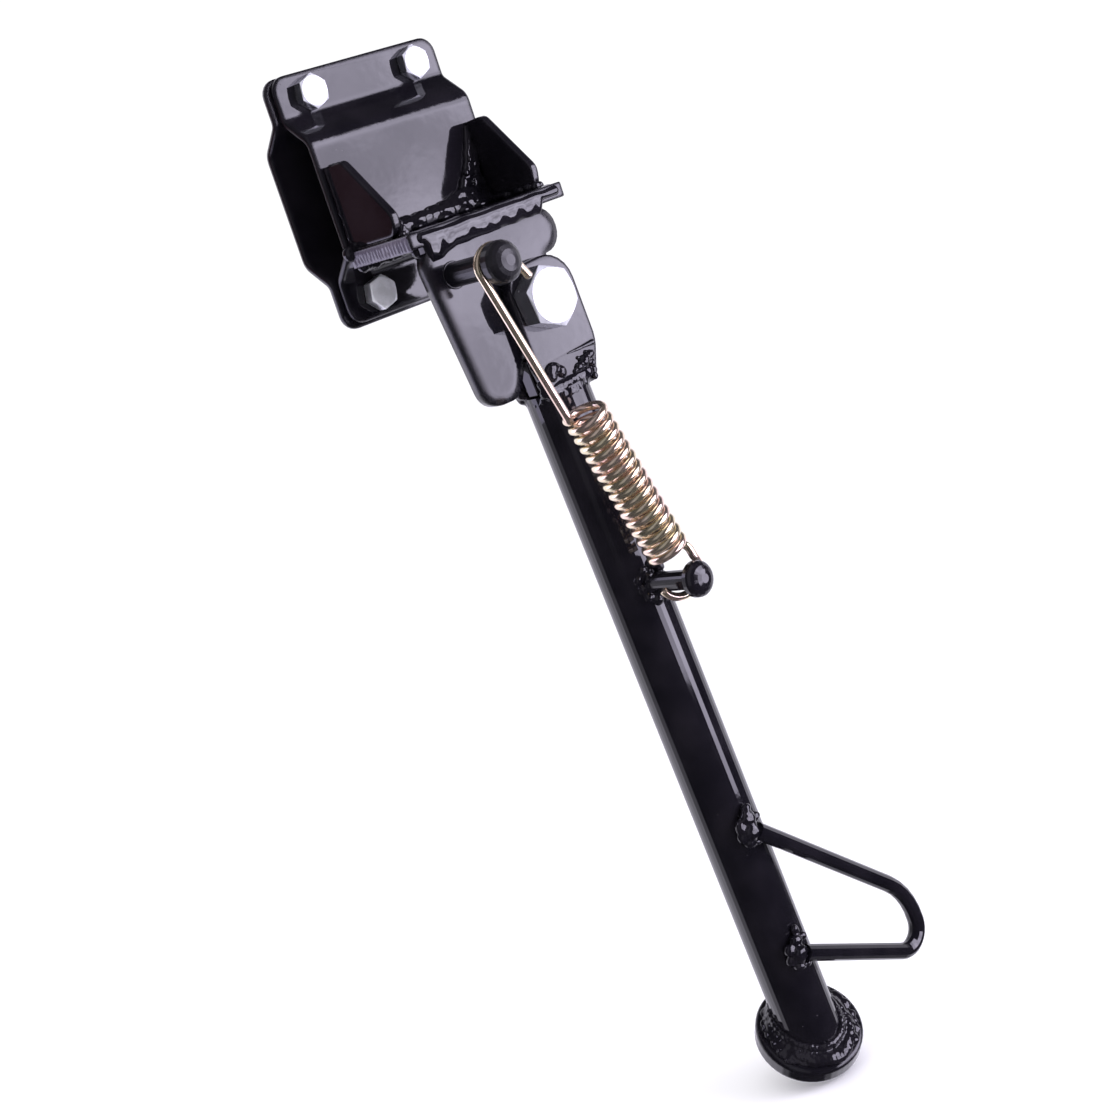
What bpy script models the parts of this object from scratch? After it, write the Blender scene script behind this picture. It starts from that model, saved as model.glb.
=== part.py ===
"""Clamp-on motorcycle side stand.

Metres, +Z up. The origin is the centre of the clamp's cavity: X runs along the
frame tube, -Y points outboard, and the leg hangs down in its deployed position.
The leg turns on the pivot bolt, whose axis is parallel to Y.
"""
import math

import bmesh
import bpy
from mathutils import Matrix, Vector

MM = 0.001
FIT = 0.3 * MM                # clearance left between touching pieces

# clamp shells
SHELL_LENGTH = 90 * MM
SHELL_HEIGHT = 107 * MM
REAR_LENGTH, REAR_HEIGHT = 92.4 * MM, 108.6 * MM
REAR_DX, REAR_DZ = -1.0 * MM, -0.9 * MM   # the rear pressing sits a little off
SHELL_T = 3.0 * MM
SHELL_DEPTH = 13.7 * MM       # mid-plane of the pressed face from the split plane
SHELL_BEND_Z = 24.0 * MM      # half height of the flat pressed face
FLANGE_BEND_Z = 34.6 * MM     # half height where the flange starts
FLANGE_CORNER = 7.0 * MM
CLAMP_BOLT_X = 28.6 * MM
CLAMP_BOLT_Z = 43.85 * MM
CLAMP_HOLE_R = 4.4 * MM

# M8 fasteners
M8_R = 4.0 * MM
M8_AF = 13.0 * MM
M8_HEAD = 5.3 * MM
M8_NUT = 6.5 * MM
M8_LENGTH = 16.5 * MM

# mounting plate and gussets
PLATE_X0, PLATE_X1 = -45.2 * MM, 42.0 * MM
PLATE_TOP = -23.7 * MM
PLATE_T = 6.5 * MM
PLATE_FRONT = -58.0 * MM
GUSSET_T = 4.0 * MM
GUSSET_X = (-40.2 * MM, 39.6 * MM)

# pivot bracket
BRACKET_FRONT = -57.0 * MM
BRACKET_T = 6.0 * MM
PIVOT = Vector((5.0 * MM, -54.0 * MM, -66.2 * MM))
PIVOT_HOLE_R = 8.4 * MM

# spring posts
POST = Vector((-28.6 * MM, BRACKET_FRONT - FIT, -45.0 * MM))
POST_R = 5.2 * MM
POST_HEAD_R = 8.9 * MM
POST_LENGTH = 37.0 * MM
PEG_R = 4.4 * MM
PEG_HEAD_R = 7.9 * MM
PEG_LENGTH = 31.5 * MM
PEG_X, PEG_Z = -2.6 * MM, -130.4 * MM

# leg, in its own frame: origin at the pivot, tube along -Z
LEG_RAKE = math.radians(4.4)
TUBE_R = 14.3 * MM
TUBE_WALL = 2.8 * MM
TUBE_X = -1.6 * MM
TUBE_TOP = -37.8 * MM
EAR_T = 6.0 * MM
EAR_INNER = 3.35 * MM
EAR_FLARE_Z = -25.5 * MM
EAR_FLARE = 0.22
LOOP_R = 3.95 * MM
LOOP_Y = -(TUBE_R + LOOP_R + FIT)
FOOT_R = 24.8 * MM
FOOT_T = 9.0 * MM
FOOT_Z = -357.6 * MM
FOOT_NORMAL = Vector((-0.18, -0.58, 0.7945)).normalized()

# M16 pivot bolt
M16_R = 8.0 * MM
M16_AF = 24.0 * MM
M16_HEAD = 10.0 * MM
M16_NUT = 13.0 * MM

# return spring
WIRE_R = 1.7 * MM
COIL_R = 7.95 * MM
COIL_TURNS = 15.5
COIL_START = 70.5 * MM
COIL_END = 143.5 * MM
SPRING_Y = -83.2 * MM         # hook on the post
SPRING_Y_END = -88.0 * MM     # hook on the peg

for item in list(bpy.data.objects):
    bpy.data.objects.remove(item, do_unlink=True)

BLACK = ((0.012, 0.012, 0.014), 0.16, 0.0)
ZINC = ((0.72, 0.73, 0.75), 0.30, 1.0)
GOLD = ((0.70, 0.56, 0.33), 0.30, 1.0)


def material(name, look):
    mat = bpy.data.materials.new(name)
    mat.use_nodes = True
    shader = mat.node_tree.nodes["Principled BSDF"]
    shader.inputs["Base Color"].default_value = (*look[0], 1.0)
    shader.inputs["Roughness"].default_value = look[1]
    shader.inputs["Metallic"].default_value = look[2]
    return mat


def build(name, bm, look, matrix=None, bevel=0.0, segments=2, cutters=(), sharp=35):
    """Turn a bmesh into a named object with its own material."""
    bmesh.ops.recalc_face_normals(bm, faces=bm.faces)
    mesh = bpy.data.meshes.new(name)
    bm.to_mesh(mesh)
    bm.free()
    ob = bpy.data.objects.new(name, mesh)
    bpy.context.scene.collection.objects.link(ob)
    if matrix is not None:
        ob.matrix_world = matrix
    mesh.materials.append(material("mat_" + name, look))
    for n, cutter in enumerate(cutters):
        cut = ob.modifiers.new("cut%d" % n, "BOOLEAN")
        cut.operation = "DIFFERENCE"
        cut.solver = "EXACT"
        cut.object = cutter
    if bevel:
        mod = ob.modifiers.new("edge", "BEVEL")
        mod.width = bevel
        mod.segments = segments
        mod.limit_method = "ANGLE"
        mod.angle_limit = math.radians(40)
        mod.harden_normals = False
    mesh.polygons.foreach_set("use_smooth", [True] * len(mesh.polygons))
    mesh.set_sharp_from_angle(angle=math.radians(sharp))
    mesh.update()
    return ob


def cutter(name, bm, matrix=None):
    bmesh.ops.recalc_face_normals(bm, faces=bm.faces)
    mesh = bpy.data.meshes.new(name)
    bm.to_mesh(mesh)
    bm.free()
    ob = bpy.data.objects.new(name, mesh)
    bpy.context.scene.collection.objects.link(ob)
    if matrix is not None:
        ob.matrix_world = matrix
    ob.hide_render = True
    ob.display_type = "WIRE"
    return ob


def fillet(points, closed=True, step=math.radians(18)):
    """Round the corners of a polyline of (u, v, radius)."""
    out = []
    count = len(points)
    for i, (u, v, r) in enumerate(points):
        here = Vector((u, v))
        if r <= 0 or (not closed and i in (0, count - 1)):
            out.append(here)
            continue
        before = Vector(points[i - 1][:2]) - here
        after = Vector(points[(i + 1) % count][:2]) - here
        before.normalize()
        after.normalize()
        half = before.angle(after) / 2
        reach = r / math.tan(half)
        centre = here + (before + after).normalized() * (r / math.sin(half))
        a = here + before * reach - centre
        b = here + after * reach - centre
        turn = math.atan2(a.x * b.y - a.y * b.x, a.dot(b))
        n = max(2, int(abs(turn) / step + 0.999))
        for k in range(n + 1):
            t = turn * k / n
            c, s = math.cos(t), math.sin(t)
            out.append(centre + Vector((a.x * c - a.y * s, a.x * s + a.y * c)))
    return out


def prism(outline, low, high, place):
    """Extrude a closed outline; place maps (u, v, w) to a point."""
    bm = bmesh.new()
    lower = [bm.verts.new(place(p.x, p.y, low)) for p in outline]
    upper = [bm.verts.new(place(p.x, p.y, high)) for p in outline]
    n = len(outline)
    bm.faces.new(lower)
    bm.faces.new(list(reversed(upper)))
    for i in range(n):
        j = (i + 1) % n
        bm.faces.new((lower[j], lower[i], upper[i], upper[j]))
    return bm


def loft(rings, closed=False):
    """Skin a list of equal-length rings; the ends are capped unless closed."""
    bm = bmesh.new()
    rows = [[bm.verts.new(p) for p in ring] for ring in rings]
    n = len(rows[0])
    pairs = list(zip(rows, rows[1:]))
    if closed:
        pairs.append((rows[-1], rows[0]))
    for a, b in pairs:
        for i in range(n):
            j = (i + 1) % n
            bm.faces.new((a[i], a[j], b[j], b[i]))
    if not closed:
        bm.faces.new(list(reversed(rows[0])))
        bm.faces.new(rows[-1])
    return bm


def outboard(x, z, depth):
    """Local turning frame to the part's frame: depth runs towards -Y."""
    return Vector((x, -depth, z))


def circle(radius, depth, n=36, phase=0.0):
    return [
        outboard(radius * math.cos(phase + 2 * math.pi * k / n),
                 radius * math.sin(phase + 2 * math.pi * k / n), depth)
        for k in range(n)
    ]


def hexagon(af, depth, chamfer_from, slope, n=36, phase=0.0):
    """A hexagonal ring whose corners are turned down by a cone."""
    ring = []
    for k in range(n):
        a = 2 * math.pi * k / n
        inside = (a + math.pi / 6) % (math.pi / 3) - math.pi / 6
        r = (af / 2) / math.cos(math.pi / 6 - abs(inside))
        drop = max(0.0, r - chamfer_from) * slope
        ring.append(outboard(r * math.cos(a + phase), r * math.sin(a + phase), depth - drop))
    return ring


def bolt(name, where, af, head, radius, length, phase):
    n = 36 if radius > M8_R else 24
    rim = 0.955 * af / 2
    tip = radius - 0.8 * MM * (radius / M8_R)
    rings = [
        circle(tip, -length, n=n, phase=phase),
        circle(radius, -length + (radius - tip), n=n, phase=phase),
        circle(radius, 0, n=n, phase=phase),
        hexagon(af, 0, rim, 0.0, n=n, phase=phase),
        hexagon(af, head, rim, 0.55, n=n, phase=phase),
        circle(rim, head, n=n, phase=phase),
    ]
    return build(name, loft(rings), ZINC, Matrix.Translation(where), sharp=30)


def nut(name, where, af, height, bore, phase):
    n = 36 if af > M8_AF else 24
    rim = 0.955 * af / 2
    rings = [
        circle(bore, 0, n=n, phase=phase),
        circle(rim, 0, n=n, phase=phase),
        hexagon(af, 0, rim, -0.55, n=n, phase=phase),
        hexagon(af, height, rim, 0.55, n=n, phase=phase),
        circle(rim, height, n=n, phase=phase),
        circle(bore, height, n=n, phase=phase),
    ]
    return build(name, loft(rings, closed=True), ZINC, Matrix.Translation(where), sharp=30)


# ---- clamp shells: a pressed hat section, split down the middle ----
def shell(name, side, length, height, dx=0.0, dz=0.0):
    mid = SHELL_T / 2 + 0.2 * MM
    line = fillet(
        [(mid, height / 2 + dz, 0), (mid, FLANGE_BEND_Z, 5 * MM),
         (SHELL_DEPTH, SHELL_BEND_Z, 6 * MM), (SHELL_DEPTH, -SHELL_BEND_Z, 6 * MM),
         (mid, -FLANGE_BEND_Z, 5 * MM), (mid, -height / 2 + dz, 0)],
        closed=False, step=math.radians(12))
    outer, inner = [], []
    for i, p in enumerate(line):
        a = line[max(0, i - 1)]
        b = line[min(len(line) - 1, i + 1)]
        t = (b - a).normalized()
        normal = Vector((-t.y, t.x))
        outer.append(p + normal * SHELL_T / 2)
        inner.append(p - normal * SHELL_T / 2)
    outline = outer + list(reversed(inner))
    bm = prism(outline, -length / 2 + dx, length / 2 + dx,
               lambda u, v, w: Vector((w, side * u, v)))
    corners = []
    for edge in bm.edges:
        a, b = edge.verts
        middle = (a.co + b.co) / 2
        if (abs(abs(middle.x - dx) - length / 2) < 1e-6
                and abs(abs(a.co.z - dz) - height / 2) < 1e-6
                and abs(abs(b.co.z - dz) - height / 2) < 1e-6
                and abs(a.co.x - b.co.x) < 1e-6):
            corners.append(edge)
    bmesh.ops.bevel(bm, geom=corners, offset=FLANGE_CORNER, segments=6, profile=0.5,
                    affect="EDGES")
    drills = []
    for i, x in enumerate((-CLAMP_BOLT_X, CLAMP_BOLT_X)):
        for j, z in enumerate((-CLAMP_BOLT_Z, CLAMP_BOLT_Z)):
            hole = loft([circle(CLAMP_HOLE_R, -12 * MM, 24), circle(CLAMP_HOLE_R, 12 * MM, 24)])
            drills.append(cutter("drill_%s_%d%d" % (name, i, j), hole,
                                 Matrix.Translation((x, 0, z))))
    return build(name, bm, BLACK, bevel=1.1 * MM, segments=3, cutters=drills)


shell("clamp_shell_front", -1, SHELL_LENGTH, SHELL_HEIGHT)
shell("clamp_shell_rear", 1, REAR_LENGTH, REAR_HEIGHT, REAR_DX, REAR_DZ)

PHASES = {"upper_left": 0.38, "upper_right": 0.45, "lower_left": 0.30, "lower_right": 0.62}
flange = SHELL_T + 0.2 * MM + FIT
for corner, (sx, sz) in {"upper_left": (-1, 1), "upper_right": (1, 1),
                         "lower_left": (-1, -1), "lower_right": (1, -1)}.items():
    at = Vector((sx * CLAMP_BOLT_X, -flange, sz * CLAMP_BOLT_Z))
    bolt("clamp_bolt_" + corner, at, M8_AF, M8_HEAD, M8_R, M8_LENGTH, PHASES[corner])
    behind = Vector((at.x, flange + M8_NUT, at.z))
    nut("clamp_nut_" + corner, behind, M8_AF, M8_NUT, M8_R + FIT, PHASES[corner] + 0.2)

# ---- mounting plate: its back edge follows the press bend ----
wall = SHELL_DEPTH + SHELL_T / 2 + FIT
plate = [Vector((-wall, PLATE_TOP)), Vector((PLATE_FRONT, PLATE_TOP)),
         Vector((PLATE_FRONT, PLATE_TOP - PLATE_T)),
         Vector((-wall + 4.2 * MM, PLATE_TOP - PLATE_T)), Vector((-wall, PLATE_TOP - 1.5 * MM))]
build("mounting_plate",
      prism(plate, PLATE_X0, PLATE_X1, lambda u, v, w: Vector((w, u, v))),
      BLACK, bevel=1.0 * MM, segments=3)

# ---- gussets: webs between the pressed face and the plate ----
web_floor = PLATE_TOP + FIT
PROFILES = {
    "left": [(-wall, 12.4 * MM, 1.0 * MM), (-26.6 * MM, 12.8 * MM, 4.6 * MM),
             (-48.2 * MM, -14.7 * MM, 5.5 * MM), (-46.0 * MM, web_floor, 4.6 * MM),
             (-wall, web_floor, 0.8 * MM)],
    "right": [(-wall, 12.6 * MM, 1.0 * MM), (-26.2 * MM, 13.0 * MM, 4.6 * MM),
              (-47.8 * MM, -14.5 * MM, 5.5 * MM), (-45.6 * MM, web_floor, 4.4 * MM),
              (-wall, web_floor, 0.8 * MM)]}
for label, x in zip(("left", "right"), GUSSET_X):
    build("gusset_" + label,
          prism(fillet(PROFILES[label]), x - GUSSET_T / 2, x + GUSSET_T / 2,
                lambda u, v, w: Vector((w, u, v))),
          BLACK, bevel=1.3 * MM, segments=3)

# ---- pivot bracket: one plate with a stop arm each way ----
arm_top = PLATE_TOP - PLATE_T - FIT
bracket = fillet([(-42.6 * MM, arm_top, 9.0 * MM), (32.8 * MM, arm_top, 9.4 * MM),
                  (32.8 * MM, -50.0 * MM, 9.4 * MM), (22.6 * MM, -50.0 * MM, 0.6 * MM),
                  (22.6 * MM, -83.8 * MM, 16.5 * MM), (-4.1 * MM, -83.8 * MM, 4.0 * MM),
                  (-15.3 * MM, -102.0 * MM, 8.0 * MM), (-33.0 * MM, -102.0 * MM, 9.0 * MM)],
                 step=math.radians(15))
bore = cutter("bore_bracket",
              loft([circle(PIVOT_HOLE_R, -12 * MM, 36), circle(PIVOT_HOLE_R, 12 * MM, 36)]),
              Matrix.Translation(PIVOT))
build("pivot_bracket",
      prism(bracket, BRACKET_FRONT, BRACKET_FRONT + BRACKET_T,
            lambda u, v, w: Vector((u, w, v))),
      BLACK, bevel=2.3 * MM, segments=4, cutters=[bore])


def stud(name, matrix, radius, head_r, length, dome, rim=2.6 * MM):
    """A turned post with a domed head."""
    seat = length - dome - rim
    rings = [circle(radius, 0, 24), circle(radius, seat - 0.8 * MM, 24),
             circle(radius + 0.5 * MM, seat - 0.2 * MM, 24), circle(head_r - 0.5 * MM, seat, 24),
             circle(head_r, seat + 0.6 * MM, 24), circle(head_r, seat + rim, 24)]
    for k in range(1, 6):
        a = k * math.pi / 2 / 6
        rings.append(circle(head_r * math.cos(a), seat + rim + dome * math.sin(a), 24))
    return build(name, loft(rings), BLACK, matrix, sharp=50)


stud("spring_post_upper", Matrix.Translation(POST), POST_R, POST_HEAD_R, POST_LENGTH,
     5.4 * MM, 3.8 * MM)

# ---- leg: everything below is built about the pivot ----
LEG = Matrix.Translation(PIVOT) @ Matrix.Rotation(-LEG_RAKE, 4, "Y")


def ear(name, side):
    outline = fillet([(-13.6 * MM, 15.8 * MM, 11.0 * MM), (23.4 * MM, 15.8 * MM, 14.0 * MM),
                      (22.4 * MM, -26.0 * MM, 9.0 * MM), (14.2 * MM, -37.5 * MM, 2.5 * MM),
                      (-14.6 * MM, -37.5 * MM, 2.5 * MM)])
    bm = prism(outline, EAR_INNER, EAR_INNER + EAR_T,
               lambda u, v, w: Vector((u, side * w, v)))
    everything = bm.verts[:] + bm.edges[:] + bm.faces[:]
    bmesh.ops.bisect_plane(bm, geom=everything, plane_co=(0, 0, EAR_FLARE_Z),
                           plane_no=(0, 0, 1))
    for v in bm.verts:
        if v.co.z < EAR_FLARE_Z:
            v.co.y += side * (EAR_FLARE_Z - v.co.z) * EAR_FLARE
    hole = cutter("bore_" + name,
                  loft([circle(PIVOT_HOLE_R, -20 * MM, 36), circle(PIVOT_HOLE_R, 20 * MM, 36)]),
                  LEG)
    return build(name, bm, BLACK, LEG, bevel=1.7 * MM, segments=3, cutters=[hole], sharp=14)


ear("leg_ear_front", -1)
ear("leg_ear_rear", 1)

# web between the ears: the stop arms of the bracket land on it
web = fillet([(-14.4 * MM, -21.2 * MM, 2.5 * MM), (6.0 * MM, -21.2 * MM, 2.5 * MM),
              (6.0 * MM, -37.5 * MM, 0.8 * MM), (-14.4 * MM, -37.5 * MM, 0.8 * MM)])
build("leg_neck_web",
      prism(web, -(EAR_INNER - FIT), EAR_INNER - FIT, lambda u, v, w: Vector((u, w, v))),
      BLACK, LEG, bevel=0.4 * MM, segments=1)

# the sole faces the ground, so the tube is cut off at an angle
foot_n = LEG.to_3x3().inverted() @ FOOT_NORMAL


def tube_ring(radius, z=None, n=40):
    ring = []
    for k in range(n):
        a = 2 * math.pi * k / n
        x, y = radius * math.cos(a), radius * math.sin(a)
        h = z
        if h is None:
            h = FOOT_Z + FIT - (foot_n.x * x + foot_n.y * y) / foot_n.z
        ring.append(Vector((TUBE_X + x, y, h)))
    return ring


bore_r = TUBE_R - TUBE_WALL
build("leg_tube",
      loft([tube_ring(TUBE_R), tube_ring(TUBE_R, TUBE_TOP), tube_ring(bore_r, TUBE_TOP),
            tube_ring(bore_r)], closed=True),
      BLACK, LEG, sharp=50)

foot_frame = (LEG @ Matrix.Translation((TUBE_X, 0, FOOT_Z))
              @ Vector((0, 0, 1)).rotation_difference(foot_n).to_matrix().to_4x4())


def flat_ring(radius, z, n=48):
    return [Vector((radius * math.cos(2 * math.pi * k / n),
                    radius * math.sin(2 * math.pi * k / n), z)) for k in range(n)]


build("foot_disc",
      loft([flat_ring(FOOT_R - 1.4 * MM, -FOOT_T), flat_ring(FOOT_R - 0.4 * MM, -FOOT_T + 0.4 * MM),
            flat_ring(FOOT_R, -FOOT_T + 1.4 * MM), flat_ring(FOOT_R, -1.6 * MM),
            flat_ring(FOOT_R - 0.5 * MM, -0.5 * MM), flat_ring(FOOT_R - 1.6 * MM, 0)]),
      BLACK, foot_frame, sharp=50)

stud("spring_peg_lower", LEG @ Matrix.Translation((PEG_X, -TUBE_R - FIT, PEG_Z)),
     PEG_R, PEG_HEAD_R, PEG_LENGTH, 4.2 * MM)


def sweep(path, radius, sides):
    """A round bar along a path, carried without twist."""
    n = len(path)
    tangents = []
    for i in range(n):
        tangents.append((path[min(n - 1, i + 1)] - path[max(0, i - 1)]).normalized())
    up = tangents[0].orthogonal().normalized()
    rings = []
    for i, p in enumerate(path):
        if i:
            up = tangents[i - 1].rotation_difference(tangents[i]) @ up
        side = tangents[i].cross(up).normalized()
        up = side.cross(tangents[i]).normalized()
        rings.append([p + (up * math.cos(2 * math.pi * k / sides)
                           + side * math.sin(2 * math.pi * k / sides)) * radius
                      for k in range(sides)])
    return loft(rings)


rod = fillet([(-3.5 * MM, -252.2 * MM, 0), (68.8 * MM, -327.8 * MM, 32 * MM),
              (66.2 * MM, -358.6 * MM, 10 * MM), (-3.5 * MM, -315.1 * MM, 0)],
             closed=False, step=math.radians(11))
build("kick_loop", sweep([Vector((p.x, LOOP_Y, p.y)) for p in rod], LOOP_R, 14),
      BLACK, LEG, bevel=0.5 * MM, segments=1, sharp=50)

head_seat = EAR_INNER + EAR_T + FIT
bolt("pivot_bolt", PIVOT + Vector((0, -head_seat, 0)), M16_AF, M16_HEAD, M16_R,
     2 * head_seat + M16_NUT + 3.5 * MM, 0.674)
nut("pivot_nut", PIVOT + Vector((0, head_seat + M16_NUT, 0)), M16_AF, M16_NUT,
    M16_R + FIT, 0.5)

# ---- return spring: hooks over the post, coils, hooks under the peg ----
hook = Vector((POST.x, SPRING_Y, POST.z))
peg = LEG @ Vector((PEG_X, 0, PEG_Z))
peg.y = SPRING_Y_END
along = Vector((peg.x - hook.x, 0, peg.z - hook.z))
span = along.length
along.normalize()
across = Vector((-along.z, 0, along.x))
lean = (SPRING_Y_END - SPRING_Y) / span


def at(t, s, y=0.0):
    """Across, along and outboard of the line from post to peg."""
    return across * t + along * s + Vector((0, lean * s + y, 0))


wrap = POST_R + FIT + WIRE_R   # over the top of the post
reach = 8.6 * MM               # half width of the open hook
path = [at(reach + 3.6 * MM, 13.2 * MM), at(reach + 2.4 * MM, 8.4 * MM),
        at(reach + 0.9 * MM, 3.4 * MM)]
for k in range(17):
    a = math.pi * k / 16
    path.append(at(reach * math.cos(a), -wrap * math.sin(a)))
for k in range(1, 7):
    path.append(at(-reach + (reach - COIL_R - 0.6 * MM) * k / 6, (COIL_START - 4.2 * MM) * k / 6))
path.append(at(-COIL_R - 0.5 * MM, COIL_START - 2.4 * MM, 0.2 * MM))
path.append(at(-COIL_R - 0.25 * MM, COIL_START - 1.0 * MM, 0.9 * MM))
per_turn = 16
count = int(COIL_TURNS * per_turn)
for k in range(1, count + 1):
    a = math.pi - 2 * math.pi * k / per_turn
    rise = COIL_START + (COIL_END - COIL_START) * k / count
    path.append(at(COIL_R * math.cos(a), rise, COIL_R * math.sin(a)))
grip = PEG_R + FIT + WIRE_R
eye = 8.5 * MM
eye_s = span + grip - eye
path.append(at(COIL_R + 0.15 * MM, COIL_END + 1.3 * MM, -1.6 * MM))
path.append(at(COIL_R + 0.6 * MM, COIL_END + 3.2 * MM, -2.3 * MM))
for k in range(15):
    a = math.radians(28 - 178 * k / 14)
    path.append(at(eye * 1.12 * math.cos(a) + 0.2 * MM, eye_s - eye * math.sin(a),
                   -2.2 * MM + 7.0 * MM * k / 14))
build("return_spring", sweep(path, WIRE_R, 8), GOLD, Matrix.Translation(hook), sharp=60)
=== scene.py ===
"""Visual model of the clamp-on motorcycle side stand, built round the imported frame."""
import math
import random

import bmesh
import bpy
from mathutils import Matrix, Vector, noise


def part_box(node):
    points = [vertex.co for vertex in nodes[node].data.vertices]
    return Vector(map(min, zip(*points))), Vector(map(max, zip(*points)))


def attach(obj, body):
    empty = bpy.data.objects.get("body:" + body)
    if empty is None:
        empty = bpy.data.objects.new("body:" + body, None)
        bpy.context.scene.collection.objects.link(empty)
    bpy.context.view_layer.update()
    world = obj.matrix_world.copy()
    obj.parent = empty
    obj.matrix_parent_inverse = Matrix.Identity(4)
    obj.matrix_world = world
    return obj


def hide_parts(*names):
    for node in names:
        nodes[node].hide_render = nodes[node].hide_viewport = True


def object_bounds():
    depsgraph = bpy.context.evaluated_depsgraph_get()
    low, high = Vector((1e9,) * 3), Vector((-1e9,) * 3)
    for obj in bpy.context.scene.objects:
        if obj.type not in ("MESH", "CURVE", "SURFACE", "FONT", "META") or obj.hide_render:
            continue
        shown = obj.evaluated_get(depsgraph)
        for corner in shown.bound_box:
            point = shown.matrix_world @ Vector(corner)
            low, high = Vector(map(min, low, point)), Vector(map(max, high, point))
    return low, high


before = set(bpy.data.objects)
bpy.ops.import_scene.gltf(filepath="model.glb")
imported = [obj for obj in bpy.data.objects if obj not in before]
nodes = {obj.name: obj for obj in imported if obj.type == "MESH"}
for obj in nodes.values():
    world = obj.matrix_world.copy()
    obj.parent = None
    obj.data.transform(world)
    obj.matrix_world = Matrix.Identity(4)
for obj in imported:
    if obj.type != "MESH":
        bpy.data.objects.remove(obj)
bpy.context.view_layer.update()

MM = 0.001

# ---------------------------------------------------------------- places, in the row frame
PIVOT = Vector((5.0, -54.0, -66.2)) * MM
RAKE = math.radians(4.4)
LEG = Matrix.Translation(PIVOT) @ Matrix.Rotation(-RAKE, 4, "Y")
TUBE_X, TUBE_R = -1.6, 14.3
FOOT_N = Vector((-0.18, -0.58, 0.7945)).normalized()
CAM_RIGHT = Vector((0.70053031, -0.64107678, -0.31349299))
CAM_UP = Vector((0.36066851, -0.06100322, 0.93069696))
CAM_BACK = Vector((-0.61577229, -0.76504847, 0.1884816))
CAM_AT = Vector((-0.55611, -0.71656, -0.00612))


def leg(x, y, z):
    return LEG @ (Vector((x, y, z)) * MM)


def row(x, y, z):
    return Vector((x, y, z)) * MM


# ---------------------------------------------------------------- material building blocks
class Graph:
    """Short names for building a node tree."""

    def __init__(self, tree):
        self.tree = tree
        self.nodes = tree.nodes
        self.links = tree.links

    def add(self, kind, **settings):
        node = self.nodes.new(kind)
        for key, value in settings.items():
            setattr(node, key, value)
        return node

    def link(self, a, b):
        self.links.new(a, b)

    def noise(self, where, scale, detail=2.0, rough=0.5, distortion=0.0):
        n = self.add("ShaderNodeTexNoise")
        n.inputs["Scale"].default_value = scale
        n.inputs["Detail"].default_value = detail
        n.inputs["Roughness"].default_value = rough
        n.inputs["Distortion"].default_value = distortion
        self.link(where, n.inputs["Vector"])
        return n.outputs["Fac"]

    def specks(self, where, scale, size):
        n = self.add("ShaderNodeTexVoronoi")
        n.inputs["Scale"].default_value = scale
        self.link(where, n.inputs["Vector"])
        return self.range(n.outputs["Distance"], size * 0.5, size, 1.0, 0.0)

    def range(self, value, a, b, c, d, smooth=True):
        n = self.add("ShaderNodeMapRange")
        n.interpolation_type = "SMOOTHSTEP" if smooth else "LINEAR"
        for k, v in zip((1, 2, 3, 4), (a, b, c, d)):
            n.inputs[k].default_value = v
        self.link(value, n.inputs[0])
        return n.outputs[0]

    def math(self, op, a, b=None):
        n = self.add("ShaderNodeMath", operation=op)
        for k, v in enumerate((a, b)):
            if v is None:
                continue
            if isinstance(v, (int, float)):
                n.inputs[k].default_value = v
            else:
                self.link(v, n.inputs[k])
        return n.outputs[0]

    def mix(self, factor, a, b):
        n = self.add("ShaderNodeMix", data_type="RGBA")
        if isinstance(factor, (int, float)):
            n.inputs["Factor"].default_value = factor
        else:
            self.link(factor, n.inputs["Factor"])
        for key, v in (("A", a), ("B", b)):
            socket = [s for s in n.inputs if s.name == key and s.type == "RGBA"][0]
            if isinstance(v, tuple):
                socket.default_value = (*v, 1.0)
            else:
                self.link(v, socket)
        return [s for s in n.outputs if s.type == "RGBA"][0]

    def bump(self, height, distance, normal=None, strength=1.0):
        n = self.add("ShaderNodeBump")
        n.inputs["Strength"].default_value = strength
        n.inputs["Distance"].default_value = distance
        self.link(height, n.inputs["Height"])
        if normal is not None:
            self.link(normal, n.inputs["Normal"])
        return n.outputs["Normal"]


def start(name):
    mat = bpy.data.materials.new(name)
    mat.use_nodes = True
    g = Graph(mat.node_tree)
    shader = g.nodes["Principled BSDF"]
    where = g.add("ShaderNodeTexCoord").outputs["Object"]
    return mat, g, shader, where


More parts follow.
